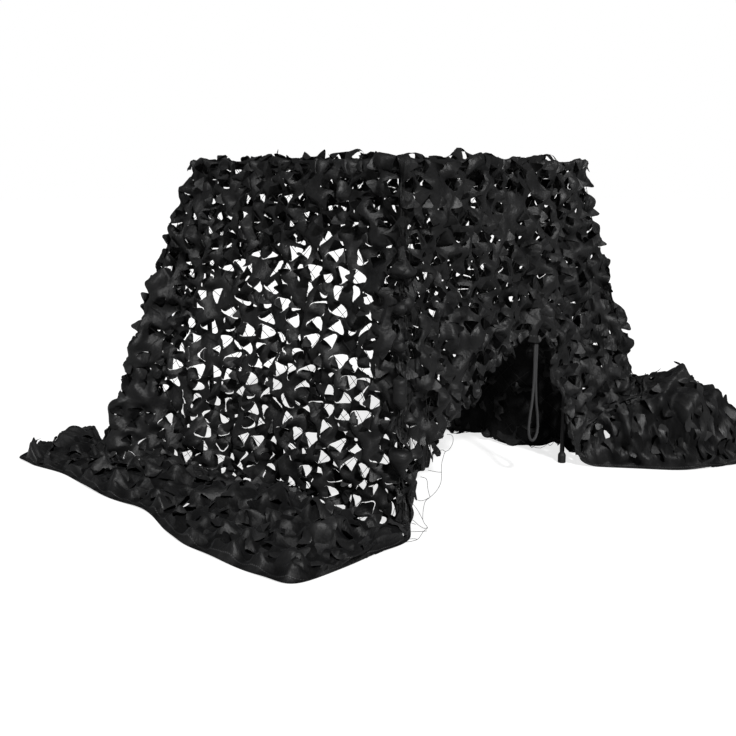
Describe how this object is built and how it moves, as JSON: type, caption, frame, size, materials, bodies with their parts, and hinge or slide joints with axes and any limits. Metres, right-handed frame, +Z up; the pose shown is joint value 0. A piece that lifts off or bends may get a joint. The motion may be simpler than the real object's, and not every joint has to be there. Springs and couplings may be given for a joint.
{
  "type": "camouflage netting draped over a frame",
  "caption": "Black leaf-cut camouflage net draped over a square frame on thin legs, with its long sides spread on the floor, one raised hem and a tie loop.",
  "frame": {"origin": "bottom centre of the whole part's box, on the floor", "axes": "+Z up; +X along the net's long run, from the spread side that faces the picture's left to the one at its right; +Y from the raised hem with the tie loop towards the short hem at the back"},
  "size_m": [1.6382, 1.5704, 0.8193],
  "materials": {
    "net_fabric": "matt black woven synthetic with a slight sheen",
    "loop_cord": "braided dark grey cord",
    "string_net": "thin knotted black string",
    "frame_tube": "black satin paint",
    "foot_rubber": "matt black rubber"
  },
  "bodies": {
    "root": {"net_cloth": "net_fabric", "tie_loop": "loop_cord", "leg_front": "frame_tube", "foot_cap_front": "foot_rubber", "corner_front": "frame_tube", "leg_right": "frame_tube", "foot_cap_right": "foot_rubber", "corner_right": "frame_tube", "leg_left": "frame_tube", "foot_cap_left": "foot_rubber", "corner_left": "frame_tube", "leg_back": "frame_tube", "foot_cap_back": "foot_rubber", "corner_back": "frame_tube", "rail_front_left": "frame_tube", "rail_back_left": "frame_tube", "rail_back_right": "frame_tube", "rail_front_right": "frame_tube"}
  },
  "joints": []
}
